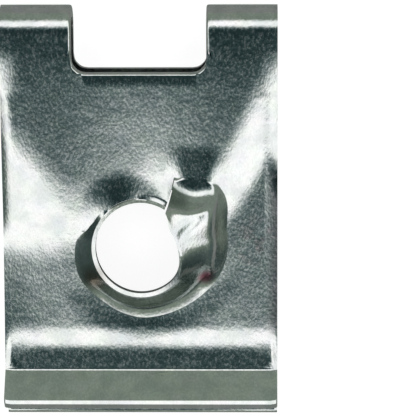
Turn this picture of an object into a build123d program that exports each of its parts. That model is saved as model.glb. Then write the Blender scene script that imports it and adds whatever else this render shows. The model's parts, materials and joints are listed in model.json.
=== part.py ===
from build123d import *
from build123d.topology import SkipClean
import os
from math import cos, radians, sin, tan

# U clip speed nut: one strip of spring steel folded over a panel's edge. X runs across the strip, +Y points
# at the fold, +Z points up through the nut leg, and the back leg lies on Z = 0. The origin is where the
# screw's axis meets the back leg's outer face. Sizes are in millimetres and degrees.

# Strip
strip_width = 11.5
thickness = 0.5
sheared_end_radius = 0.15

# Fold, with the notch that leaves two arms
fold_reach = 10.1
fold_outer_radius = 1.1
notch_width = 5.6
notch_depth = 2.75
notch_corner_radius = 0.45

# Back leg, with the clearance hole and its half collar
back_leg_reach = 7.5
clearance_radius = 2.6
collar_height = 0.42
collar_land = 0.22
collar_slope_width = 0.45
collar_full_to = 0.55
collar_fade_length = 1.05

# Nut leg: it runs level from the fold, leans in over the panel from the knee to the hollow and runs level
# again to the lip, which turns up and away from the panel
arm_level_length = 1.4
knee_reach = 2.9
knee_height = 1.97
hollow_reach = 1.0
grip_gap = 0.5
lip_bend_reach = 5.36
lip_angle = 46
lip_length = 1.7
bow_radius = 14
lip_inner_radius = 0.3
lip_corner_radius = 0.2

# Pressed thread: one turn of the sheet about the screw's axis, from the low to the high side of a slit. Places
# along the turn are shares of it
pitch = 1.59
bore_radius = 1.86
slit_angle = 60
slit_reach = 3.15
slit_width = 0.1
half_turn_gap = 1.0
rim_step = 0.03
rim_bevel_width = 0.22
rim_bevel_depth = 0.2
bevel_fades_from = 0.7
bevel_fades_to = 0.9
flank_angle = 50
blend_share = 0.22
shoulder_width = 0.55
shoulder_at = 0.87
shoulder_spread = 0.16
pinch_from = 0.92
foot_sink = 0.02
root_depth = 0.4
bore_stock = 0.1
sections_per_turn = 32
stations_per_flank = 9
wall_sectors = 6

# Places that follow from the sizes
fold_axis_y = fold_reach - fold_outer_radius
arm_height = 2 * fold_outer_radius
mouth_height = 2 * thickness + grip_gap
lip_tip = (
    -lip_bend_reach - lip_length * cos(radians(lip_angle)),
    mouth_height + lip_length * sin(radians(lip_angle)),
)
leg_corners = [
    (fold_axis_y, arm_height),
    (fold_axis_y - arm_level_length, arm_height),
    (knee_reach, knee_height),
    (-hollow_reach, mouth_height),
    (-lip_bend_reach, mouth_height),
    lip_tip,
]


def leg_height(y):
    """Height of the nut leg's outer face before the thread is pressed, between the arms and the lip."""
    for (y1, z1), (y2, z2) in zip(leg_corners[:-2], leg_corners[1:-1]):
        if y >= y2:
            break
    return z2 + (z1 - z2) * (y - y2) / (y1 - y2)


def ease(value):
    """Runs smoothly from 0 to 1 while the value does."""
    share = min(max(value, 0), 1)
    return share * share * (3 - 2 * share)


def flank_share(across):
    """Height left across the flank: a rounded crown, a straight slope and a rounded foot."""
    steep = 1 - blend_share
    if across < blend_share:
        return 1 - across**2 / (2 * blend_share * steep)
    if across < steep:
        return 1 - (across - blend_share / 2) / steep
    return (1 - across) ** 2 / (2 * blend_share * steep)


def form_section(turn, drop, inner_radius, bevelled):
    """Section through the form that raises the sheet, at this share of a turn, with its top lowered by drop."""
    angle = radians(slit_angle + 360 * turn)
    bevel = 1 - ease((turn - bevel_fades_from) / (bevel_fades_to - bevel_fades_from))
    shoulder = shoulder_width * (1 - ease(abs(turn - shoulder_at) / shoulder_spread))
    rim_radius = bore_radius + rim_bevel_width * bevel + shoulder
    rim_height = leg_height(bore_radius * sin(radians(slit_angle))) + rim_step + pitch * turn
    lift = rim_height - leg_height(rim_radius * sin(angle)) + foot_sink
    slope_width = lift / ((1 - blend_share) * tan(radians(flank_angle)))
    pinch = ease((turn - pinch_from) / (1 - pinch_from))
    foot_radius = (rim_radius + slope_width) * (1 - pinch) + slit_reach * pinch

    top = []
    for station in range(stations_per_flank + 1):
        share = station / stations_per_flank
        radius = rim_radius + (foot_radius - rim_radius) * share
        height = leg_height(radius * sin(angle)) - foot_sink + lift * flank_share(share)
        top.append((radius, height - drop))
    inner_height = rim_height - drop
    if bevelled:
        inner_height -= rim_bevel_depth * bevel * (rim_radius - inner_radius) / (rim_radius - bore_radius)
    root = -root_depth - drop
    outward = Vector(cos(angle), sin(angle), 0)
    with BuildSketch(Plane((0, 0, 0), x_dir=outward, z_dir=(outward.Y, -outward.X, 0))) as section:
        with BuildLine():
            Spline(top)
            Polyline(
                top[-1],
                (foot_radius, leg_height(foot_radius * sin(angle)) + root),
                (inner_radius, leg_height(inner_radius * sin(angle)) + root),
                (inner_radius, inner_height),
                top[0],
            )
        make_face()
    return section.sketch


turns = [
    (half_turn_gap + (360 - 2 * half_turn_gap) * step / sections_per_turn) / 360
    for step in range(sections_per_turn + 1)
]

with BuildPart() as nut_leg:
    with BuildSketch(Plane.YZ):
        with BuildLine():
            FilletPolyline(
                *leg_corners,
                radius=[bow_radius, bow_radius, bow_radius, lip_inner_radius],
            )
            offset(amount=thickness, side=Side.LEFT)
        make_face()
    extrude(amount=strip_width / 2, both=True)
    lip_end = nut_leg.faces().sort_by(Axis.Y)[0]
    fillet(lip_end.edges().filter_by(Axis.X, reverse=True), lip_corner_radius)

    loft([form_section(turn, 0, bore_radius - bore_stock, True) for turn in turns])
    loft([form_section(turn, thickness, bore_radius / 2, False) for turn in turns], mode=Mode.SUBTRACT)

    # The slit runs out from the bore, where the high end of the turn has torn away from the low end
    with BuildSketch(Plane.XY.rotated((0, 0, slit_angle))):
        Rectangle(slit_reach, slit_width, align=(Align.MIN, Align.CENTER))
    extrude(amount=arm_height + pitch, mode=Mode.SUBTRACT)

with BuildPart() as back_leg:
    with BuildSketch(Plane.YZ):
        with BuildLine():
            Line((-back_leg_reach, 0), (fold_axis_y, 0))
            ThreePointArc(
                (fold_axis_y, 0),
                (fold_reach, fold_outer_radius),
                (fold_axis_y, arm_height),
            )
            offset(amount=-thickness, side=Side.LEFT)
        make_face()
    extrude(amount=strip_width / 2, both=True)
    fillet(back_leg.faces().sort_by(Axis.Y)[0].edges().filter_by(Axis.X), sheared_end_radius)

    # Half collar drawn up around the clearance hole, full height beside the fold and fading past the axis
    collar_top = thickness + collar_height
    collar_radius = clearance_radius + collar_land
    with BuildSketch(Plane.YZ):
        with BuildLine():
            Polyline(
                (0, thickness / 2),
                (collar_radius + collar_slope_width, thickness / 2),
                (collar_radius + collar_slope_width, thickness),
                (collar_radius, collar_top),
                (0, collar_top),
                close=True,
            )
        make_face()
    revolve(axis=Axis.Z, revolution_arc=360)
    with BuildSketch(Plane.YZ):
        with BuildLine():
            Polyline(
                (collar_full_to, collar_top),
                (collar_full_to - collar_fade_length, thickness),
                (-back_leg_reach, thickness),
                (-back_leg_reach, collar_top),
                close=True,
            )
        make_face()
    extrude(amount=strip_width / 2, both=True, mode=Mode.SUBTRACT)
    with BuildSketch():
        Circle(clearance_radius)
    extrude(amount=collar_top, mode=Mode.SUBTRACT)

with BuildPart() as clip:
    add(nut_leg.part)
    add(back_leg.part)

    # Notch in the fold
    with BuildSketch(Plane.XY.offset(-thickness)) as notch:
        with Locations((0, fold_reach - notch_depth)):
            Rectangle(notch_width, 2 * notch_depth, align=(Align.CENTER, Align.MIN))
        fillet(notch.vertices().group_by(Axis.Y)[0], notch_corner_radius)
    extrude(amount=arm_height + 2 * thickness, mode=Mode.SUBTRACT)

    # Bore through the pressed thread, in sectors, so that each stretch of wall follows its own stretch of helix
    sector_angle = 360 / wall_sectors
    for sector in range(wall_sectors):
        with BuildSketch(Plane.XY.rotated((0, 0, slit_angle + sector * sector_angle))):
            with BuildLine():
                rim = CenterArc((0, 0), bore_radius, 0, sector_angle)
                Polyline(rim @ 1, (0, 0), rim @ 0)
            make_face()
        with SkipClean():
            extrude(amount=arm_height + pitch + thickness, mode=Mode.SUBTRACT)

clip.part.label = "clip"
os.makedirs("parts", exist_ok=True)
export_step(clip.part, "parts/clip.step")
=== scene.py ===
import json
import math

import bmesh
import bpy
from mathutils import Matrix, Vector


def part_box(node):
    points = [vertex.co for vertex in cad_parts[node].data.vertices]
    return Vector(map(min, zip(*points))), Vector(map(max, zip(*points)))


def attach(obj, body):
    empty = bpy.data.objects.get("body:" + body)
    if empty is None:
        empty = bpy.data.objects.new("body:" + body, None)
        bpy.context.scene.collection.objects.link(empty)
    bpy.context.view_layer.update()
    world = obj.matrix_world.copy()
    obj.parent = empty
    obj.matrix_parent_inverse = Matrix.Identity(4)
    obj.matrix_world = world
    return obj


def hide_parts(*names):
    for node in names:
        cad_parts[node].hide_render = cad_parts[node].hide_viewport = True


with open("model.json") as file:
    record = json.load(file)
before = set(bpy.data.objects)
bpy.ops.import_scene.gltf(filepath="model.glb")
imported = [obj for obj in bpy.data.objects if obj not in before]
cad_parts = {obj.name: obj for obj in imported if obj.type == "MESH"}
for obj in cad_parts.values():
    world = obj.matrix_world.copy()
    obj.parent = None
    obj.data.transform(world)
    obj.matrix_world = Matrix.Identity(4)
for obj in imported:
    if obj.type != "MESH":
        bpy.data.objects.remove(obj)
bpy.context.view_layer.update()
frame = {"record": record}

bl_info = {
    "name": "U Clip Speed Nut",
    "version": (1, 0, 0),
    "blender": (4, 5, 0),
    "location": "3D View > Sidebar > U Clip",
    "description": "Builds a zinc-plated U clip speed nut and the stage it is shown on",
    "category": "Mesh",
}

low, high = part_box("clip")
mounts = {mount["name"]: mount for mount in frame["record"]["mounts"]}
MM = 0.001
DEG = math.radians(1)


def length(name, default, description):
    """A size in metres, shown in scene units."""
    return bpy.props.FloatProperty(
        name=name, description=description, default=default, min=0, precision=5, unit="LENGTH")


def turn(name, degrees, description):
    """An angle, shown in degrees."""
    return bpy.props.FloatProperty(
        name=name, description=description, default=degrees * DEG, subtype="ANGLE")


def colour(name, default, description):
    """A colour in scene linear values."""
    return bpy.props.FloatVectorProperty(
        name=name, description=description, default=default, size=3, min=0, max=1, subtype="COLOR")


def share(name, default, description):
    """A plain number without a unit."""
    return bpy.props.FloatProperty(name=name, description=description, default=default)


class ClipSizes(bpy.types.PropertyGroup):
    """Sizes of the clip's strip, legs and pressed thread."""

    strip_width: length("Strip width", high.x - low.x, "Width of the spring steel strip")
    thickness: length("Thickness", 0.5 * MM, "Thickness of the sheet")
    fold_reach: length("Fold reach", high.y, "From the screw's axis to the outside of the fold")
    fold_radius: length("Fold radius", 1.1 * MM, "Outer radius of the fold")
    notch_width: length("Notch width", 5.6 * MM, "Gap between the two arms")
    notch_depth: length("Notch depth", 2.75 * MM, "Depth of the notch behind the fold's outside")
    notch_corner: length("Notch corner", 0.6 * MM, "Radius in the notch's inner corners")
    notch_roll: length("Notch roll", 0.1 * MM, "Rounding of the notch's edges where the punch went in")
    arm_level: length("Arm level", 1.4 * MM, "Length of the arms that stays level behind the fold")
    rest_height: length("Rest height", 1.55 * MM, "Height of the nut leg just before the trough")
    bow_half: length("Bow half length", 0.6 * MM, "Half the length over which the nut leg changes slope")
    gentle_middle: turn("Gentle middle", 3.4, "Slope of the leg between the arms and the knee")
    gentle_edge: turn("Gentle edge", 1.6, "The same slope, at the side edges")
    added_middle: turn("Added middle", 0.7, "Slope that is added behind the notch, in the middle")
    added_edge: turn("Added edge", 0.2, "Slope that is added behind the notch, at the side edges")
    added_from: length("Added from", 5.7 * MM, "From the screw's axis to where that slope starts")
    steep_angle: turn("Steep angle", 7.2, "Slope of the nut leg between the knee and the hollow")
    knee_half: length("Knee half length", 0.96 * MM, "Half the length over which the knee bends")
    knee_low: length("Knee low", 2.1 * MM, "Reach of the knee beside the thread")
    knee_bow: length("Knee bow", 1.5 * MM, "How much nearer the fold the knee lies straight above the hole")
    knee_bow_right: length("Knee bow right", 0.5 * MM, "Place of that bow's middle, right of the axis")
    knee_bow_half: length("Knee bow half width", 1.6 * MM, "Half the width of that bow")
    left_wing_from: length("Left wing from", 2.9 * MM, "From the axis to where it turns to the left edge")
    left_wing_rise: share("Left wing rise", 1.05, "How steeply the knee runs from there towards the fold")
    right_wing_from: length("Right wing from", 2.6 * MM, "From the axis to where it turns to the right edge")
    right_wing_rise: share("Right wing rise", 1.9, "How steeply the knee runs from there towards the fold")
    wing_soft: length("Wing bend", 0.5 * MM, "Half the length over which the knee turns into a wing")
    hollow_low: length("Hollow low", 0.1 * MM, "From the axis to the end of the steep part by the thread")
    hollow_wing_from: length("Hollow wing from", 2.75 * MM, "From the axis to where it turns to the edge")
    hollow_wing_rise: share("Hollow wing rise", 1.45, "How steeply it runs from there towards the fold")
    hollow_soft: length("Hollow bend", 0.4 * MM, "Half the length over which it turns")
    roll_width: length("Roll width", 0.5 * MM, "Width of the rolled side edges")
    roll_drop: length("Roll drop", 0.09 * MM, "How far the side edges roll over")
    roll_right_from: length("Roll right from", 2 * MM, "From the axis to where the right edge starts")
    roll_left_past: length("Roll left past", 0.5 * MM, "How far past the axis the left edge starts")
    roll_grow: length("Roll growth", 2 * MM, "Length over which the roll grows from there")
    roll_on_arms: length("Roll on arms", 0.8 * MM, "How far the roll reaches along the arms")
    roll_fade: length("Roll fade", 1 * MM, "Length over which the roll fades there")
    trough_depth: length("Trough depth", 0.085 * MM, "Depth of the flat trough in front of the lip")
    trough_half: length("Trough half length", 5.42 * MM, "Half the straight length of the trough")
    trough_lead: length("Trough lead", 1.1 * MM, "From the trough's middle to where the leg levels out")
    trough_flat: length("Trough flat", 0.42 * MM, "Half the width of the trough's level bottom")
    trough_side: length("Trough side", 1.1 * MM, "Width of the trough's sloping side")
    trough_reach: length("Trough reach", 4.95 * MM, "From the axis to the middle of the trough")
    trough_end: share("Trough end", 5, "How much faster its ends fade than its sides")
    climb_angle: turn("Climb angle", 2, "Slope with which the leg starts to climb before the lip")
    climb_reach: length("Climb reach", 4.45 * MM, "From the axis to where it starts to climb")
    climb_soft: length("Climb bend", 0.2 * MM, "Half the length over which it starts to climb")
    lip_reach: length("Lip reach", 5.36 * MM, "From the screw's axis to the corner of the lip")
    lip_angle: turn("Lip angle", 43, "How far the lip turns up")
    lip_length: length("Lip length", 1.5 * MM, "Length of the lip from its corner")
    lip_radius: length("Lip radius", 0.2 * MM, "Inner radius of the lip's bend")
    facet_reach: length("Facet reach", 0.1 * MM, "Length of the facet along the lip's end")
    facet_depth: length("Facet depth", 0.14 * MM, "Depth of the facet along the lip's end")
    lip_corner: length("Lip corner", 0.08 * MM, "Radius of the lip's two corners")
    swell: length("Swell", 0.22 * MM, "Height of the swelling beside the thread's low end")
    swell_left: length("Swell left", 0.7 * MM, "Place of the swelling's middle, left of the axis")
    swell_reach: length("Swell reach", 1.3 * MM, "Place of the swelling's middle, towards the fold")
    swell_half_width: length("Swell half width", 2 * MM, "Half the width of the swelling")
    swell_half_length: length("Swell half length", 1.9 * MM, "Half the length of the swelling")
    shelf_angle: turn("Shelf angle", 4.5, "Extra slope of the shelf behind the high end")
    shelf_reach: length("Shelf reach", 4.2 * MM, "From the axis to where the shelf starts")
    shelf_right: length("Shelf right", 2.3 * MM, "Place of the shelf's middle, right of the axis")
    shelf_half: length("Shelf half width", 0.45 * MM, "Half the width of the shelf's full height")
    shelf_fade: length("Shelf fade", 0.8 * MM, "Width over which the shelf fades at each side")
    shelf_soft: length("Shelf bend", 0.15 * MM, "Half the length over which the shelf's slope starts")
    shelf_grow: length("Shelf growth", 1.6 * MM, "Length over which the shelf grows, from the axis on")
    moat: length("Moat", 0.03 * MM, "How far the sheet is drawn down round the thread's foot")
    moat_width: length("Moat width", 1.05 * MM, "Width over which the drawn-down sheet rises again")
    pitch: length("Pitch", 1.59 * MM, "Rise of the pressed thread in one turn")
    rise_power: share("Rise power", 1.65, "How much later in the turn the rim rises than an even helix does")
    bore_radius: length("Bore radius", mounts["pressed_thread"]["dims"]["r_mm"] * MM, "Hole in the thread")
    slit_angle: turn("Slit angle", 56, "Where the thread's turn starts and ends")
    slit_reach: length("Slit reach", 3.3 * MM, "From the screw's axis to the end of the slit")
    slit_swing: turn("Slit swing", 8, "How far the slit turns on its way out from the bore")
    slit_half: length("Slit half width", 0.02 * MM, "Half the width of the slit")
    bevel_width: length("Bevel width", 0.16 * MM, "Width of the slanted rim")
    bevel_depth: length("Bevel depth", 0.062 * MM, "Height of the slanted rim")
    low_flank_angle: turn("Low flank angle", 45, "Slope of the flank round the thread's low half")
    flank_angle: turn("Flank angle", 54, "Slope of the flank round the thread's high half")
    shoulder_width: length("Shoulder width", 0.54 * MM, "How much wider the form is at its broadest")
    left_bulge: length("Left bulge", 0.22 * MM, "How much wider the form is where it starts to rise")
    widest_foot: length("Widest foot", 4.2 * MM, "Radius of the form's foot behind the thread's high end")
    least_foot: length("Least foot", 2.2 * MM, "Radius that the form's foot never goes below")
    crease_depth: length("Crease depth", 0.03 * MM, "Depth of the faint crease over the thread's shoulder")
    crease_half: length("Crease half width", 0.28 * MM, "Half the width of that crease")
    crease_right: length("Crease right", 1.9 * MM, "Place of the crease, right of the axis")
    crease_reach: length("Crease reach", 0.85 * MM, "Place of the crease, towards the fold")
    scoop_right: length("Scoop right", 2.4 * MM, "Place of the scoop's middle, right of the axis")
    scoop_reach: length("Scoop reach", 3.2 * MM, "Place of the scoop's middle, towards the fold")
    scoop_rise: length("Scoop rise", 0.1 * MM, "Height of the scoop's bowl 1 mm from its middle")
    scoop_radius: length("Scoop radius", 1.35 * MM, "Radius of the bowl's wall")
    scoop_wall: length("Scoop wall", 0.3 * MM, "Height of the wall there")
    rim_land: length("Rim land", 0.05 * MM, "Width of the rim where its slant has faded")
    torn_back: length("Torn back", 0.4 * MM, "How far the torn corner by the slit stands back")
    drawn_in: length("Drawn in", 0.27 * MM, "How far the high end of the rim closes in on the bore")
    clearance_radius: length(
        "Clearance radius", mounts["clearance_hole"]["dims"]["r_mm"] * MM, "Hole in the back leg")
    collar_height: length("Collar height", 0.42 * MM, "Height of the half collar on the back leg")
    collar_land: length("Collar land", 0.22 * MM, "Width of the collar's top")
    collar_slope: length("Collar slope", 0.45 * MM, "Width of the collar's slope")
    collar_full_to: length("Collar full to", 0.55 * MM, "Where the collar starts to fade")
    collar_fade: length("Collar fade", 1.05 * MM, "Length over which the collar fades")
    sheared_radius: length("Sheared radius", 0.15 * MM, "Rounding of the back leg's sheared end")
    edge_radius: length("Edge radius", 0.05 * MM, "Rounding of the punched edges")


class ClipColours(bpy.types.PropertyGroup):
    """Colours of the plating, of the shade painted on it and of the stage."""

    zinc: colour("Zinc", (0.68, 0.705, 0.69), "Bright zinc plating")
    # Pressed is a dark colour painted on as shade, on the thread's steep flanks and beside the slit
    pressed: colour("Pressed", (0.24, 0.28, 0.265), "Plating that the press has darkened round the thread")
    brown: colour("Brown", (0.21, 0.14, 0.09), "Brown film on the thread's left flank")
    red: colour("Red", (0.25, 0.05, 0.09), "Red film on the thread's right flank")
    rose: colour("Rose", (0.42, 0.27, 0.30), "Faint rose film beside the right edge")
    edge: colour("Edge", (0.13, 0.10, 0.125), "Dark film along the right edge")
    zenith: colour("Zenith", (0.014, 0.030, 0.032), "Studio ceiling above the camera")
    board: colour("Board", (0.06, 0.085, 0.08), "Dark boards left and lower right of the clip")
    wall: colour("Wall", (0.18, 0.215, 0.18), "Studio walls")
    floor: colour("Floor", (0.3, 0.31, 0.3), "Floor under the clip")


# Columns run out from the hole all the way round it, and rings run round it
columns = 180
bevel_rings = 3
flank_rings = 26
apron_rings = 16
outline_rings = 24
back_rings = 4
corner_steps = 5
arm_rows = 5
lip_rows = 4
lip_steps = 10
fold_steps = 40

# Share of the strip's width out to which the rings stay round
apron_share = 0.4

# Lengths in metres below which two places count as one
hand = 1e-9
near_enough = 1e-7
weld = 1e-6

# Stretches over which the pressed form changes, as shares of its turn from the slit's low side to the high
bulge_starts = (0.29, 0.33)
bulge_ends = (0.41, 0.51)
apron_widens = (0.42, 0.5)
flank_steepens = (0.58, 0.76)
shoulder_widens = (0.62, 0.82)
bevel_fades = (0.7, 0.9)
rim_closes_in = (0.72, 0.89)
shoulder_rounds = (0.745, 0.865)
foot_spreads = (0.87, 0.94)
foot_closes = (0.95, 1)
foot_is_sharp = (0.3, 0.87)
moat_starts = (0.38, 0.48)
moat_ends = (0.75, 0.85)
crease_starts = (0.82, 0.85)
torn_from = 0.93
beside_slit_share = 0.1

# Stretches across the flank, as shares of the way from its rim to its foot
scoop_starts = (0, 0.25)
crease_deepens = (0, 0.15)
crease_ends = (0.4, 0.65)

# How steep a flank is against its steepest part, the way across the crease, and the scoop's sharpness
flank_fullness = 0.92
crease_side = (0.66, -0.75)
scoop_bend = 4


def ease(value):
    """Runs smoothly from 0 to 1 while the value does."""
    part = min(max(value, 0), 1)
    return part * part * (3 - 2 * part)


def between(value, start, end):
    """Runs smoothly from 0 at the start to 1 at the end."""
    return ease((value - start) / (end - start))


def mix(a, b, part):
    """The value that lies this part of the way from a to b."""
    return a + (b - a) * part


def bent(y, corner, half):
    """Length past a corner whose slope changes over half that length on each side."""
    if y <= corner - half:
        return 0
    if y >= corner + half:
        return y - corner
    return (y - corner + half) ** 2 / (4 * half)


def ramp(value, soft):
    """The value where it is well above 0, and 0 where it is well below, with a soft bend between."""
    return bent(value, 0, soft)


def leg_height(sizes, x, y):
    """Height of the nut leg's outer face away from the pressed thread."""
    arm = 2 * sizes.fold_radius
    arm_from = sizes.fold_reach - sizes.fold_radius - sizes.arm_level
    outward = ease(abs(x) / (apron_share * sizes.strip_width))
    gentle = math.tan(mix(sizes.gentle_middle, sizes.gentle_edge, outward))
    added = math.tan(mix(sizes.added_middle, sizes.added_edge, outward))
    steep = math.tan(sizes.steep_angle)

    # The knee runs out to the side edges in two wings and bows towards the fold over the hole
    knee = sizes.knee_low
    knee += sizes.left_wing_rise * ramp(-x - sizes.left_wing_from, sizes.wing_soft)
    knee += sizes.right_wing_rise * ramp(x - sizes.right_wing_from, sizes.wing_soft)
    knee += sizes.knee_bow * (1 - ease(abs(x - sizes.knee_bow_right) / sizes.knee_bow_half))
    knee = min(knee, arm_from - sizes.bow_half)
    hollow = sizes.hollow_wing_rise * ramp(x - sizes.hollow_wing_from, sizes.hollow_soft) - sizes.hollow_low
    end = sizes.trough_lead - sizes.trough_reach
    hollow_height = arm - gentle * (arm_from - knee)
    hollow_height -= added * (sizes.added_from - knee) + steep * (knee - hollow)
    sinking = (hollow_height - sizes.rest_height) / (hollow - end)
    height = arm - gentle * bent(-y, -arm_from, sizes.bow_half)
    height -= added * bent(-y, -sizes.added_from, sizes.bow_half)
    height -= (steep - gentle - added) * bent(-y, -knee, sizes.knee_half)
    height += (steep - sinking) * bent(-y, -hollow, sizes.bow_half)
    height += sinking * bent(-y, -end, sizes.bow_half)
    height += math.tan(sizes.climb_angle) * bent(-y, sizes.climb_reach, sizes.climb_soft)

    # Side edges roll over between the arms and the hole, and a flat trough runs across in front of the lip
    beyond = max(abs(x) - sizes.strip_width / 2 + sizes.roll_width, 0) / sizes.roll_width
    roll_from = sizes.roll_right_from if x > 0 else -sizes.roll_left_past
    roll_to = arm_from + sizes.roll_on_arms
    along = between(y, roll_from, roll_from + sizes.roll_grow)
    along *= between(y, roll_to, roll_to - sizes.roll_fade)
    height -= sizes.roll_drop * beyond**2 * along
    past_end = sizes.trough_end * max(abs(x) - sizes.trough_half, 0)
    off = (past_end**3 + abs(y + sizes.trough_reach) ** 3) ** (1 / 3)
    height -= sizes.trough_depth * (1 - ease((off - sizes.trough_flat) / sizes.trough_side))

    # The sheet swells up to the thread's low end and falls off in a shelf behind its high end
    from_swell = math.hypot((x + sizes.swell_left) / sizes.swell_half_width,
                            (y - sizes.swell_reach) / sizes.swell_half_length)
    height += sizes.swell * (1 - ease(from_swell))
    shelf = math.tan(sizes.shelf_angle) * ramp(sizes.shelf_reach - y, sizes.shelf_soft)
    shelf *= ease(y / sizes.shelf_grow)
    beside_shelf = abs(x - sizes.shelf_right) - sizes.shelf_half
    return height + shelf * (1 - ease(beside_shelf / sizes.shelf_fade))


def form(sizes, at):
    """The pressed form at this share of its turn: its inner, rim and foot radius, rim height and bevel."""
    angle = sizes.slit_angle + math.tau * at
    bevel = 1 - between(at, *bevel_fades)
    inner_radius = sizes.bore_radius - sizes.drawn_in * between(at, *rim_closes_in)
    inner_radius += sizes.torn_back * max((at - torn_from) / (1 - torn_from), 0) ** 2
    rim_radius = inner_radius + mix(sizes.rim_land, sizes.bevel_width, bevel)
    rim_height = high.z - sizes.pitch * (1 - at**sizes.rise_power)
    lift = rim_height - leg_height(sizes, rim_radius * math.cos(angle), rim_radius * math.sin(angle))
    flank = mix(sizes.low_flank_angle, sizes.flank_angle, between(at, *flank_steepens))
    foot_radius = sizes.bore_radius + sizes.bevel_width + lift / (flank_fullness * math.tan(flank))
    foot_radius += sizes.shoulder_width * between(at, *shoulder_widens)
    foot_radius += sizes.left_bulge * between(at, *bulge_starts) * (1 - between(at, *bulge_ends))
    foot_radius = max(foot_radius, sizes.least_foot)
    foot_radius = mix(foot_radius, sizes.widest_foot, between(at, *foot_spreads))
    foot_radius = mix(foot_radius, sizes.slit_reach, between(at, *foot_closes))
    return inner_radius, rim_radius, rim_height, foot_radius, bevel


def height_left(slopes, across):
    """Share of its height that a flank has left this far across, by its slopes at the given places."""
    passed = whole = 0
    for (start, slope), (end, next_slope) in zip(slopes, slopes[1:]):
        length = end - start
        done = min(max((across - start) / length, 0), 1)
        passed += length * done * (slope + (next_slope - slope) * done / 2)
        whole += length * (slope + next_slope) / 2
    return 1 - passed / whole


# How steep each kind of flank is against its steepest, at places across it from the rim to the foot
steep_flank = ((0, 0.7), (0.1, 1), (0.7, 1), (1, 0.8))
aproned_flank = ((0, 0.7), (0.1, 1), (0.45, 1), (0.72, 0.27), (1, 0.12))
shouldered_flank = ((0, 0.16), (0.62, 0.2), (0.74, 0.7), (0.84, 1), (0.93, 1), (1, 0.35))


def flank_share(across, at):
    """Height left across the flank, whose slopes change on the way from the low end to the high end."""
    aproned = height_left(aproned_flank, across)
    left = mix(height_left(steep_flank, across), aproned, between(at, *apron_widens))
    return mix(left, height_left(shouldered_flank, across), between(at, *shoulder_rounds))


def scooped(sizes, risen, x, y):
    """Rise of the flank, held under the bowl that the press leaves behind the thread's high end.

    The bowl rises with the distance from its middle, and the flank meets it in a soft bend.
    """
    off = math.hypot(x - sizes.scoop_right, y - sizes.scoop_reach)
    scoop = sizes.scoop_rise * (off / MM) ** 3 + sizes.scoop_wall * (off / sizes.scoop_radius) ** 6
    if risen <= 0 or scoop <= 0:
        return 0
    return risen * (1 + (risen / scoop) ** scoop_bend) ** (-1 / scoop_bend)


def nut_column(sizes, part):
    """Points of one column of the nut leg, from the bore out, each with the height of the lower face."""
    angle = sizes.slit_angle + math.tau * part
    inner_radius, rim_radius, rim_height, foot_radius, bevel = form(sizes, part)
    edge = mix(sizes.slit_reach, foot_radius, ease(part / beside_slit_share))
    apron = apron_share * sizes.strip_width
    radii = [mix(inner_radius, rim_radius, step / bevel_rings) for step in range(bevel_rings)]
    radii += [mix(rim_radius, edge, step / flank_rings) for step in range(flank_rings)]
    radii += [mix(edge, apron, step / apron_rings) for step in range(apron_rings + 1)]
    column = []
    beside_slit = 1 - ease(min(part, 1 - part) / beside_slit_share)
    for ring, radius in enumerate(radii):
        along_slit = (radius - sizes.bore_radius) / (sizes.slit_reach - sizes.bore_radius)
        past_slit = (radius - sizes.slit_reach) / (apron - sizes.slit_reach)
        swung = angle + sizes.slit_swing * beside_slit * min(max(along_slit, 0), 1) * (1 - ease(past_slit))
        if ring < bevel_rings + flank_rings:
            swung += math.asin(sizes.slit_half / radius) * (1 - 2 * part)
        x, y = radius * math.cos(swung), radius * math.sin(swung)
        base = leg_height(sizes, x, y)
        if radius <= rim_radius + hand:
            slope = (rim_radius - radius) / (rim_radius - inner_radius)
            top = rim_height - sizes.bevel_depth * bevel * slope
            under = rim_height - sizes.thickness
        else:
            across = (radius - rim_radius) / (foot_radius - rim_radius)
            risen = (rim_height - base) * flank_share(min(across, 1), part)
            top = base + mix(risen, scooped(sizes, risen, x, y), between(across, *scoop_starts))
            off_right, off_ahead = x - sizes.crease_right, y - sizes.crease_reach
            from_crease = abs(crease_side[0] * off_right + crease_side[1] * off_ahead)
            creased = (1 - ease(from_crease / sizes.crease_half)) * between(part, *crease_starts)
            creased *= between(across, *crease_deepens) * (1 - between(across, *crease_ends))
            top -= sizes.crease_depth * creased
            beyond = max(radius - foot_radius, 0) / sizes.moat_width
            drawn_down = between(part, *moat_starts) * (1 - between(part, *moat_ends))
            top -= sizes.moat * drawn_down * min(across, 1) ** 4 * (1 - ease(beyond))
            under = top - sizes.thickness
        column.append((x, y, top, under))
    return column


def back_column(sizes, part):
    """Points of one column of the back leg, from its hole out, each with the height of the lower face."""
    angle = sizes.slit_angle + math.tau * part
    land = sizes.clearance_radius + sizes.collar_land
    foot = land + sizes.collar_slope
    apron = apron_share * sizes.strip_width
    radii = [sizes.clearance_radius, mix(sizes.clearance_radius, land, 0.5), land]
    steps = [step / back_rings for step in range(1, back_rings + 1)]
    radii += [mix(land, foot, step) for step in steps]
    radii += [mix(foot, apron, step) for step in steps]
    column = []
    for radius in radii:
        x, y = radius * math.cos(angle), radius * math.sin(angle)
        drawn = min(max((foot - radius) / sizes.collar_slope, 0), 1)
        kept = min(max((y - sizes.collar_full_to + sizes.collar_fade) / sizes.collar_fade, 0), 1)
        column.append((x, y, sizes.thickness + sizes.collar_height * min(drawn, kept), 0))
    return column


def outline_point(sizes, part, near, far):
    """Point where a column meets the leg's rectangular outline, with a column put in each corner."""
    angle = sizes.slit_angle + math.tau * part
    half = sizes.strip_width / 2
    for x, y in ((half, far), (-half, far), (-half, near), (half, near)):
        off = (angle - math.atan2(y, x) + math.pi) % math.tau - math.pi
        if abs(off) <= math.pi / columns:
            return x, y
    toward_x, toward_y = math.cos(angle), math.sin(angle)
    reach = half / max(abs(toward_x), hand)
    reach = min(reach, (far if toward_y > 0 else near) / (toward_y or hand))
    return reach * toward_x, reach * toward_y


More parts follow.
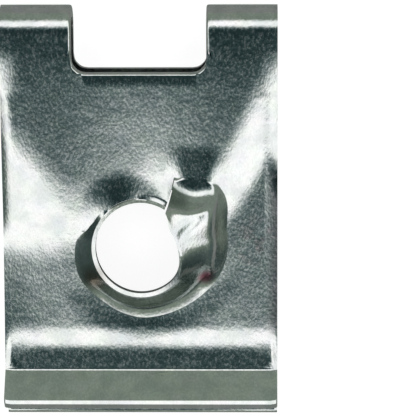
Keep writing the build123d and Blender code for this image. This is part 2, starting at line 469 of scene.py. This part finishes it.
def pick(kind, test):
    """Selects the vertices, edges or faces that pass the test, and nothing else."""
    bpy.ops.mesh.select_mode(type={"verts": "VERT", "edges": "EDGE", "faces": "FACE"}[kind])
    bpy.ops.mesh.select_all(action="DESELECT")
    mesh = bpy.context.object.data
    shape = bmesh.from_edit_mesh(mesh)
    for item in getattr(shape, kind):
        item.select_set(test(item))
    shape.select_flush_mode()
    bmesh.update_edit_mesh(mesh)


def picked(shape):
    """The selected vertices."""
    return [vertex for vertex in shape.verts if vertex.select]


def move_picked(place):
    """Moves each selected vertex to the place that the function gives for it."""
    mesh = bpy.context.object.data
    shape = bmesh.from_edit_mesh(mesh)
    layers = {name: shape.verts.layers.float[name] for name in ("part", "under")}
    for vertex in picked(shape):
        place(vertex, layers)
    bmesh.update_edit_mesh(mesh)


def extrude(offset=(0, 0, 0)):
    """Extrudes what is selected and moves it by the offset."""
    bpy.ops.mesh.extrude_region_move(TRANSFORM_OT_translate={"value": tuple(offset)})


def middle(item):
    """Middle of an edge or a face."""
    return sum((vertex.co for vertex in item.verts), Vector()) / len(item.verts)


def leg(sizes, name, column_at, height_at, floor_at, near, seam):
    """One leg as a plate with its hole, drawn to its form, from its free end to the start of the fold.

    Every vertex keeps two values: its share of the turn round the hole, and the height of the sheet's lower
    face below it. A seam leaves the rings open between the first column and the last, for the slit.
    """
    far = sizes.fold_reach - sizes.notch_depth - sizes.notch_corner
    count = columns + 1 if seam else columns
    bpy.ops.mesh.primitive_circle_add(vertices=count, radius=1 * MM, fill_type="NOTHING")
    plate = bpy.context.object
    plate.name = name
    mesh = plate.data
    for layer in ("part", "under"):
        mesh.attributes.new(layer, "FLOAT", "POINT")
    for index in range(count):
        mesh.attributes["part"].data[index].value = index / columns
    bpy.ops.object.mode_set(mode="EDIT")
    if seam:
        ends = {0, columns}
        pick("edges", lambda edge: {vertex.index for vertex in edge.verts} == ends)
        bpy.ops.mesh.delete(type="EDGE_FACE")
    pick("edges", lambda edge: True)

    # Rings from the hole out to the apron, then on to the rectangular outline
    drawn = {}

    def column_of(part):
        """The column at this share of the turn, worked out once."""
        if part not in drawn:
            drawn[part] = column_at(sizes, part)
        return drawn[part]

    rings = len(column_of(0))
    for ring in range(rings + outline_rings):
        if ring:
            extrude()

        def place(vertex, layers, ring=ring):
            """Puts the vertex where its column meets this ring."""
            part = vertex[layers["part"]]
            x, y, top, under = column_of(part)[min(ring, rings - 1)]
            if ring >= rings:
                step = (ring - rings + 1) / outline_rings
                corner_x, corner_y = outline_point(sizes, part, near, far)
                x, y = mix(x, corner_x, step), mix(y, corner_y, step)
                top, under = height_at(x, y), floor_at(x, y)
            vertex.co = (x, y, top)
            vertex[layers["under"]] = under

        move_picked(place)
    if seam:
        bpy.ops.mesh.select_all(action="SELECT")
        bpy.ops.mesh.remove_doubles(threshold=near_enough)

    # Rows on from there to the fold, with the notch left open between the arms
    half_notch = sizes.notch_width / 2
    inner = half_notch - sizes.notch_corner
    notch_y = sizes.fold_reach - sizes.notch_depth
    rows = [notch_y, notch_y + sizes.notch_corner]
    pick("edges", lambda edge: all(vertex.co.y > far - hand for vertex in edge.verts))
    for row in rows:
        extrude()
        move_picked(lambda vertex, layers, row=row: setattr(vertex.co, "y", row))
    for step in range(corner_steps + 1):
        x = inner + sizes.notch_corner * math.sin(step / corner_steps * math.pi / 2)
        for side in (-x, x):
            pick("faces", lambda face: middle(face).y > far)
            bpy.ops.mesh.bisect(plane_co=(side, 0, 0), plane_no=(1, 0, 0), threshold=near_enough)
    pick("faces", lambda face: middle(face).y > notch_y and abs(middle(face).x) < inner)
    bpy.ops.mesh.delete(type="FACE")
    pick("verts", lambda vertex: vertex.co.y > notch_y + near_enough
         and inner - near_enough < abs(vertex.co.x) < half_notch - near_enough)

    def round_corner(vertex, layers):
        """Puts the vertex on the round of the notch's inner corner."""
        along = min(max((abs(vertex.co.x) - inner) / sizes.notch_corner, 0), 1)
        vertex.co.y = notch_y + sizes.notch_corner * (1 - math.sqrt(1 - along**2))

    move_picked(round_corner)
    top_row = rows[-1] - hand
    pick("edges", lambda edge: all(
        vertex.co.y > top_row and abs(vertex.co.x) > half_notch - near_enough for vertex in edge.verts))
    fold_from = sizes.fold_reach - sizes.fold_radius
    for step in range(1, arm_rows + 1):
        extrude()
        row = mix(rows[-1], fold_from, step / arm_rows)
        move_picked(lambda vertex, layers, row=row: setattr(vertex.co, "y", row))
    bpy.ops.mesh.select_all(action="SELECT")
    bpy.ops.mesh.remove_doubles(threshold=near_enough)
    pick("verts", lambda vertex: vertex.co.y > far - hand)

    def level(vertex, layers):
        """Puts the vertex at the leg's height and keeps the height of the lower face there."""
        vertex.co.z = height_at(vertex.co.x, vertex.co.y)
        vertex[layers["under"]] = floor_at(vertex.co.x, vertex.co.y)

    move_picked(level)

    # Thickness
    bpy.ops.mesh.select_mode(type="FACE")
    bpy.ops.mesh.select_all(action="SELECT")
    extrude((0, 0, -sizes.thickness))
    move_picked(lambda vertex, layers: setattr(vertex.co, "z", vertex[layers["under"]]))
    bpy.ops.mesh.select_all(action="SELECT")
    bpy.ops.mesh.normals_make_consistent(inside=False)
    return plate


def is_end(face, y):
    """Whether the face is part of the wall that closes a leg at this y."""
    return all(abs(vertex.co.y - y) < near_enough for vertex in face.verts)


def crease_foot(sizes):
    """Keeps the sharp bend where the flank meets the flat sheet."""

    def on_foot(vertex):
        """Whether the vertex is on the ring round the form's foot."""
        part = (math.atan2(vertex.co.y, vertex.co.x) - sizes.slit_angle) / math.tau % 1
        if not foot_is_sharp[0] < part < foot_is_sharp[1]:
            return False
        foot_radius = form(sizes, part)[3]
        return abs(math.hypot(vertex.co.x, vertex.co.y) - foot_radius) < weld

    pick("edges", lambda edge: all(on_foot(vertex) for vertex in edge.verts))
    bpy.ops.mesh.mark_sharp()


def make_nut_leg(sizes):
    """The nut leg, with its lip turned up and its arms folded back to the back leg."""
    near = -(sizes.lip_reach - sizes.lip_radius * math.tan(sizes.lip_angle / 2))
    plate = leg(
        sizes, "nut_leg", nut_column,
        lambda x, y: leg_height(sizes, x, y),
        lambda x, y: leg_height(sizes, x, y) - sizes.thickness,
        near, True)
    crease_foot(sizes)
    lip_axis = (0, near, leg_height(sizes, 0, near) + sizes.lip_radius)
    pick("faces", lambda face: is_end(face, near))
    bpy.ops.mesh.spin(steps=lip_steps, angle=sizes.lip_angle, center=lip_axis, axis=(1, 0, 0))
    lip_way = Vector((0, -math.cos(sizes.lip_angle), math.sin(sizes.lip_angle)))
    straight = sizes.lip_length - sizes.lip_radius * math.tan(sizes.lip_angle / 2)
    for _ in range(lip_rows):
        extrude(straight / lip_rows * lip_way)

    # The lip's end is sheared at a slant, which leaves a narrow facet along its upper edge
    extrude(sizes.facet_reach * lip_way)
    sheet_up = Vector((0, math.sin(sizes.lip_angle), math.cos(sizes.lip_angle)))
    shape = bmesh.from_edit_mesh(plate.data)
    end_height = max(vertex.co.dot(sheet_up) for vertex in picked(shape))

    def lower_edge(vertex, layers):
        """Lowers the vertex by the facet's depth if it is on the upper edge."""
        if vertex.co.dot(sheet_up) > end_height - sizes.thickness / 2:
            vertex.co -= sheet_up * sizes.facet_depth

    move_picked(lower_edge)
    fold_from = sizes.fold_reach - sizes.fold_radius
    pick("faces", lambda face: is_end(face, fold_from))
    fold_axis = (0, fold_from, sizes.fold_radius)
    bpy.ops.mesh.spin(steps=fold_steps, angle=math.pi, center=fold_axis, axis=(1, 0, 0))
    bpy.ops.mesh.delete(type="FACE")
    bpy.ops.object.mode_set(mode="OBJECT")
    return plate


def make_back_leg(sizes):
    """The back leg, with its clearance hole and half collar, open where the fold's arms join it."""
    fold_from = sizes.fold_reach - sizes.fold_radius
    plate = leg(
        sizes, "back_leg", back_column, lambda x, y: sizes.thickness, lambda x, y: 0, low.y, False)
    pick("faces", lambda face: is_end(face, fold_from))
    bpy.ops.mesh.delete(type="FACE")
    bpy.ops.object.mode_set(mode="OBJECT")
    return plate


class CLIP_OT_strip(bpy.types.Operator):
    """Makes the clip's folded strip with its pressed thread."""

    bl_idname = "clip.strip"
    bl_label = "Folded Strip"

    def execute(self, context):
        sizes = context.scene.clip_sizes
        bpy.ops.object.select_all(action="DESELECT")
        nut_leg = make_nut_leg(sizes)
        bpy.ops.object.select_all(action="DESELECT")
        back_leg = make_back_leg(sizes)
        bpy.ops.object.select_all(action="DESELECT")
        nut_leg.select_set(True)
        back_leg.select_set(True)
        context.view_layer.objects.active = nut_leg
        bpy.ops.object.join()
        strip = context.object
        strip.name = strip.data.name = "folded_strip"
        bpy.ops.object.mode_set(mode="EDIT")
        bpy.ops.mesh.select_all(action="SELECT")
        bpy.ops.mesh.remove_doubles(threshold=weld)
        bpy.ops.mesh.normals_make_consistent(inside=False)
        self.round_ends(sizes)
        bpy.ops.object.mode_set(mode="OBJECT")
        shape = bmesh.new()
        shape.from_mesh(strip.data)
        loose = sum(1 for edge in shape.edges if not edge.is_manifold)
        shape.free()
        if loose:
            raise RuntimeError(f"the strip has {loose} open edges")
        edges = strip.modifiers.new("punched_edges", "BEVEL")
        edges.width = sizes.edge_radius
        edges.segments = 2
        edges.limit_method = "ANGLE"
        edges.angle_limit = 35 * DEG
        edges.harden_normals = True
        bpy.ops.object.shade_smooth_by_angle(angle=40 * DEG)
        bpy.ops.object.modifier_apply(modifier=edges.name)

        # Wide faces lead the shading of narrow ones beside them, so that flat sheet looks flat to its edge
        flats = strip.modifiers.new("flat_faces", "WEIGHTED_NORMAL")
        flats.keep_sharp = True
        bpy.ops.object.modifier_apply(modifier=flats.name)
        strip.data.materials.clear()
        strip.data.materials.append(zinc_plate(context.scene.clip_colours))
        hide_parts("clip")
        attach(strip, "root")
        return {"FINISHED"}

    def round_ends(self, sizes):
        """Rounds the lip's corners, the back leg's sheared end and the notch's outer edges."""
        half = sizes.strip_width / 2 - hand
        lip_way = Vector((0, -math.cos(sizes.lip_angle), math.sin(sizes.lip_angle)))
        shape = bmesh.from_edit_mesh(bpy.context.object.data)
        tip = max(vertex.co.dot(lip_way) for vertex in shape.verts)
        end = min(vertex.co.y for vertex in shape.verts)
        facet_from = tip - sizes.facet_reach

        def on_corner(edge):
            """Whether the edge runs through the sheet at one of the lip's corners."""
            places = [vertex.co.dot(lip_way) for vertex in edge.verts]
            way = (edge.verts[0].co - edge.verts[1].co).normalized()
            at_end = min(places) > facet_from - near_enough and max(places) > facet_from + near_enough
            at_side = all(abs(vertex.co.x) > half for vertex in edge.verts)
            return at_end and at_side and abs(way.dot(lip_way)) < 0.9

        pick("edges", on_corner)
        bpy.ops.mesh.bevel(offset=sizes.lip_corner, segments=4, affect="EDGES")
        pick("edges", lambda edge: all(abs(vertex.co.y - end) < near_enough for vertex in edge.verts)
             and abs(edge.verts[0].co.z - edge.verts[1].co.z) < near_enough)
        bpy.ops.mesh.bevel(offset=sizes.sheared_radius, segments=4, affect="EDGES")
        inside = sizes.notch_width / 2 + near_enough
        notch_y = sizes.fold_reach - sizes.notch_depth
        fold_from = sizes.fold_reach - sizes.fold_radius

        def in_notch(vertex):
            """Whether the vertex is in the notch and on the strip's outer face."""
            place = vertex.co
            if abs(place.x) > inside or place.y < notch_y - near_enough:
                return False
            if place.y > fold_from:
                from_axis = math.hypot(place.y - fold_from, place.z - sizes.fold_radius)
                return from_axis > sizes.fold_radius - weld
            return place.z < weld or place.z > leg_height(sizes, place.x, place.y) - weld

        pick("edges", lambda edge: all(in_notch(vertex) for vertex in edge.verts)
             and edge.is_manifold and edge.calc_face_angle() > 60 * DEG)
        bpy.ops.mesh.bevel(offset=sizes.notch_roll, segments=3, affect="EDGES")


def math_node(nodes, links, operation, first, second=None, third=None):
    """A math node with its inputs set to numbers or linked to outputs."""
    node = nodes.new("ShaderNodeMath")
    node.operation = operation
    for socket, value in zip(node.inputs, (first, second, third)):
        if isinstance(value, bpy.types.NodeSocket):
            links.new(value, socket)
        elif value is not None:
            socket.default_value = value
    return node.outputs[0]


def noise(nodes, links, place, size, detail=2):
    """Noise whose grains are about this size."""
    node = nodes.new("ShaderNodeTexNoise")
    node.inputs["Scale"].default_value = 1 / size
    node.inputs["Detail"].default_value = detail
    links.new(place, node.inputs["Vector"])
    return node


def spread(nodes, links, value, from_low, from_high, to_low, to_high):
    """The value taken from one range smoothly to another."""
    node = nodes.new("ShaderNodeMapRange")
    node.interpolation_type = "SMOOTHSTEP"
    links.new(value, node.inputs["Value"])
    limits = {"From Min": from_low, "From Max": from_high, "To Min": to_low, "To Max": to_high}
    for name, number in limits.items():
        node.inputs[name].default_value = number
    return node.outputs["Result"]


def blend(nodes, links, factor, first, second):
    """A colour mix node whose inputs are numbers, colours or outputs."""
    node = nodes.new("ShaderNodeMix")
    node.data_type = "RGBA"
    for socket, value in ((node.inputs[0], factor), (node.inputs[6], first), (node.inputs[7], second)):
        if isinstance(value, bpy.types.NodeSocket):
            links.new(value, socket)
        else:
            socket.default_value = value
    return node.outputs[2]


def near_point(nodes, links, place, centre, inner, outer):
    """1 within the inner distance of a point and 0 past the outer one."""
    node = nodes.new("ShaderNodeVectorMath")
    node.operation = "DISTANCE"
    links.new(place, node.inputs[0])
    node.inputs[1].default_value = centre
    return spread(nodes, links, node.outputs["Value"], inner, outer, 1, 0)


def stained_and_shaded(nodes, links, tone, mask, strength, stain_and_shade):
    """The tone with a colour laid over it, at this strength where the mask is 1; it lays both stains and
    painted shade.
    """
    return blend(nodes, links, math_node(nodes, links, "MULTIPLY", mask, strength), tone, (*stain_and_shade, 1))


def zinc_plate(colours):
    """Bright zinc plating on spring steel, with painted shade on the thread's steep flanks and beside the
    slit.
    """
    material = bpy.data.materials.new("zinc_plate")
    material.use_nodes = True
    nodes, links = material.node_tree.nodes, material.node_tree.links
    surface = nodes["Principled BSDF"]
    surface.inputs["Metallic"].default_value = 1
    place = nodes.new("ShaderNodeTexCoord").outputs["Object"]
    geometry = nodes.new("ShaderNodeNewGeometry")
    facing = nodes.new("ShaderNodeSeparateXYZ")
    links.new(geometry.outputs["Normal"], facing.inputs[0])
    across = nodes.new("ShaderNodeSeparateXYZ")
    links.new(place, across.inputs[0])

    # Fine grain drawn out a little along the strip, and wide patches
    drawn = nodes.new("ShaderNodeMapping")
    drawn.inputs["Scale"].default_value = (1, 0.6, 1)
    links.new(place, drawn.inputs["Vector"])
    fine = noise(nodes, links, drawn.outputs["Vector"], 0.09 * MM)
    patches = noise(nodes, links, place, 0.7 * MM, 3)
    tone = blend(nodes, links, 0.08, (*colours.zinc, 1), patches.outputs["Color"])

    # Painted shade: the thread's steep flanks near the hole get the dark pressed colour, which stands in for
    # the dim light they reflect
    steep = spread(nodes, links, facing.outputs["Z"], math.cos(40 * DEG), math.cos(22 * DEG), 1, 0)
    by_thread = near_point(nodes, links, place, (-0.2 * MM, -1.3 * MM, 1.9 * MM), 2.8 * MM, 3.5 * MM)
    pressed = math_node(nodes, links, "MULTIPLY", steep, by_thread)
    tone = stained_and_shaded(nodes, links, tone, pressed, 0.85, colours.pressed)

    # Films, and painted shade as the second, by the slit: middle, start and end of the fade, strength,
    # colour
    films_and_painted_shade = (
        ((-2.0 * MM, -1.35 * MM, 2.0 * MM), 0.1 * MM, 0.9 * MM, 0.7, colours.brown),
        # Painted shade beside the slit, in the pressed colour
        ((1.45 * MM, 2.2 * MM, 2.5 * MM), 0.3 * MM, 0.8 * MM, 0.8, colours.pressed),
        ((2.75 * MM, -1.25 * MM, 1.8 * MM), 0.1 * MM, 0.55 * MM, 0.85, colours.red),
    )
    for middle_place, inner, outer, strength, film in films_and_painted_shade:
        mask = near_point(nodes, links, place, middle_place, inner, outer)
        tone = stained_and_shaded(nodes, links, tone, mask, strength, film)
    rose = near_point(nodes, links, place, (4.9 * MM, 0.2 * MM, 1.8 * MM), 0.3 * MM, 1.7 * MM)
    broken = spread(nodes, links, patches.outputs["Fac"], 0.45, 0.6, 0, 0.4)
    tone = stained_and_shaded(nodes, links, tone, rose, broken, colours.rose)

    # A dark film runs along the right edge between the bend and the lip
    by_edge = spread(nodes, links, across.outputs["X"], 5.15 * MM, 5.75 * MM, 0, 0.7)
    to_bend = spread(nodes, links, across.outputs["Y"], 2.6 * MM, 4.0 * MM, 1, 0)
    to_lip = spread(nodes, links, across.outputs["Y"], -4.2 * MM, -3.2 * MM, 0, 1)
    along = math_node(nodes, links, "MULTIPLY", to_bend, to_lip)
    tone = stained_and_shaded(nodes, links, tone, by_edge, along, colours.edge)

    # The grain and the patches make the colour lighter and darker
    flecks = spread(nodes, links, fine.outputs["Fac"], 0.35, 0.65, 0.93, 1.03)
    clouds = spread(nodes, links, patches.outputs["Fac"], 0.35, 0.65, 0.92, 1.06)
    plated = nodes.new("ShaderNodeVectorMath")
    plated.operation = "SCALE"
    links.new(tone, plated.inputs[0])
    links.new(math_node(nodes, links, "MULTIPLY", flecks, clouds), plated.inputs["Scale"])
    links.new(plated.outputs["Vector"], surface.inputs["Base Color"])

    # Cut edges stand upright and are rougher than the plated faces
    upright = math_node(nodes, links, "ABSOLUTE", facing.outputs["Z"])
    upright = spread(nodes, links, upright, 0.15, 0.4, 0.5, 0)
    grainy = spread(nodes, links, fine.outputs["Fac"], 0.4, 0.7, 0.09, 0.2)
    links.new(math_node(nodes, links, "ADD", upright, grainy), surface.inputs["Roughness"])

    # Both also stand in the surface, the grain on top of the patches
    below = None
    for pattern, depth in ((patches, 0.007 * MM), (fine, 0.005 * MM)):
        bump = nodes.new("ShaderNodeBump")
        bump.inputs["Strength"].default_value = 1
        bump.inputs["Distance"].default_value = depth
        links.new(pattern.outputs["Fac"], bump.inputs["Height"])
        if below:
            links.new(below, bump.inputs["Normal"])
        below = bump.outputs["Normal"]
    links.new(below, surface.inputs["Normal"])
    return material


class CLIP_OT_stage(bpy.types.Operator):
    """Makes the floor, the light and the camera."""

    bl_idname = "clip.stage"
    bl_label = "Stage"

    def execute(self, context):
        scene = context.scene
        scene.view_settings.view_transform = "Standard"
        bpy.ops.object.select_all(action="DESELECT")
        bpy.ops.mesh.primitive_plane_add(size=4, location=(0, 0, 0))
        floor = context.object
        floor.name = "floor"
        floor.data.materials.append(floor_paint(scene.clip_colours))
        lit_from = Vector((0, math.sin(3 * DEG), math.cos(3 * DEG)))
        self.make_world(scene, lit_from, scene.clip_colours)
        self.make_camera(scene)
        return {"FINISHED"}

    def make_camera(self, scene):
        """Long lens almost straight above the nut leg, leaning a little towards the fold."""
        across, lean = 1 * DEG, 10.2 * DEG
        toward = Vector((
            math.sin(across),
            math.sin(lean) * math.cos(across),
            math.cos(lean) * math.cos(across),
        ))
        aim = Vector((2.93 * MM, 1.54 * MM, 1.7 * MM))
        distance = 120 * MM
        up = toward.cross(Vector((1, 0, 0))).normalized()
        side = up.cross(toward)
        turned = Matrix((side, up, toward)).transposed().to_4x4()
        camera = bpy.data.objects.new("camera", bpy.data.cameras.new("camera"))
        scene.collection.objects.link(camera)
        camera.data.lens = 246
        camera.data.clip_start = 1 * MM
        camera.matrix_world = Matrix.Translation(aim + toward * distance) @ turned
        scene.camera = camera

    def make_world(self, scene, toward, colours):
        """Soft studio: dark above, a white ring round that, dim walls below it and two dark boards."""
        world = bpy.data.worlds.new("studio")
        scene.world = world
        world.use_nodes = True
        nodes, links = world.node_tree.nodes, world.node_tree.links
        background = nodes["Background"]
        place = nodes.new("ShaderNodeTexCoord")
        off_axis = math_node(nodes, links, "ARCCOSINE", along_way(nodes, links, place, toward))
        ramp = nodes.new("ShaderNodeValToRGB")
        links.new(math_node(nodes, links, "DIVIDE", off_axis, math.pi), ramp.inputs["Fac"])

        # Degrees off the studio's axis, and the light there
        stops = [
            (0, colours.zenith), (9, (0.010, 0.023, 0.025)), (14, (0.034, 0.060, 0.062)),
            (18, (0.105, 0.145, 0.145)), (22, (0.34, 0.38, 0.37)), (27, (1, 1, 1)), (44, (1, 1, 1)),
            (53, colours.wall), (180, colours.wall)]
        elements = ramp.color_ramp.elements
        while len(elements) < len(stops):
            elements.new(0.5)
        for element, (degrees, level) in zip(elements, stops):
            element.position = degrees / 180
            element.color = (*level, 1)

        # A dark board on the left and a smaller one at the lower right, each given by its way and its reach
        lit = ramp.outputs["Color"]
        for azimuth, reach in ((190 * DEG, 62 * DEG), (318 * DEG, 42 * DEG)):
            way = (math.cos(azimuth), math.sin(azimuth), 0)
            near_board = along_way(nodes, links, place, way)
            near_board = spread(nodes, links, near_board, math.cos(reach), math.cos(reach / 2), 0, 1)
            lit = blend(nodes, links, near_board, lit, (*colours.board, 1))

        # The camera sees plain white behind the clip
        camera_ray = nodes.new("ShaderNodeLightPath").outputs["Is Camera Ray"]
        links.new(blend(nodes, links, camera_ray, lit, (1, 1, 1, 1)), background.inputs["Color"])
        strength = 1.4
        links.new(math_node(nodes, links, "MULTIPLY_ADD", camera_ray, 1 - strength, strength),
                  background.inputs["Strength"])


def along_way(nodes, links, place, way):
    """Cosine of the angle between the world's direction and this way."""
    node = nodes.new("ShaderNodeVectorMath")
    node.operation = "DOT_PRODUCT"
    node.inputs[1].default_value = way
    links.new(place.outputs["Generated"], node.inputs[0])
    return node.outputs["Value"]


def floor_paint(colours):
    """Floor that the camera sees as white, and the metal as a much dimmer grey."""
    material = bpy.data.materials.new("pale_floor")
    material.use_nodes = True
    nodes, links = material.node_tree.nodes, material.node_tree.links
    surface = nodes["Principled BSDF"]
    surface.inputs["Base Color"].default_value = (*colours.floor, 1)
    surface.inputs["Roughness"].default_value = 0.9
    surface.inputs["Specular IOR Level"].default_value = 0
    surface.inputs["Emission Color"].default_value = (1, 1, 1, 1)
    path = nodes.new("ShaderNodeLightPath").outputs
    mirrored = math_node(nodes, links, "MAXIMUM", path["Is Glossy Ray"], path["Is Transmission Ray"])
    mirrored = math_node(nodes, links, "MULTIPLY", mirrored, 0.06)
    seen = math_node(nodes, links, "MULTIPLY_ADD", path["Is Camera Ray"], 0.88, mirrored)
    links.new(seen, surface.inputs["Emission Strength"])
    return material


class CLIP_PT_panel(bpy.types.Panel):
    """Lists the clip's sizes and the steps that build it."""

    bl_label = "U Clip"
    bl_idname = "CLIP_PT_panel"
    bl_space_type = "VIEW_3D"
    bl_region_type = "UI"
    bl_category = "U Clip"

    def draw(self, context):
        for operator in (CLIP_OT_strip, CLIP_OT_stage):
            self.layout.operator(operator.bl_idname)
        for name in ClipSizes.__annotations__:
            self.layout.prop(context.scene.clip_sizes, name)
        for name in ClipColours.__annotations__:
            self.layout.prop(context.scene.clip_colours, name)


classes = (ClipSizes, ClipColours, CLIP_OT_strip, CLIP_OT_stage, CLIP_PT_panel)


def register():
    """Adds the classes and the scene's sizes and colours."""
    for each in classes:
        bpy.utils.register_class(each)
    bpy.types.Scene.clip_sizes = bpy.props.PointerProperty(type=ClipSizes)
    bpy.types.Scene.clip_colours = bpy.props.PointerProperty(type=ClipColours)


def unregister():
    """Takes them out again."""
    del bpy.types.Scene.clip_colours
    del bpy.types.Scene.clip_sizes
    for each in reversed(classes):
        bpy.utils.unregister_class(each)


def main():
    """Builds the clip and its stage."""
    register()
    bpy.ops.clip.strip()
    bpy.ops.clip.stage()


if __name__ == "__main__":
    main()
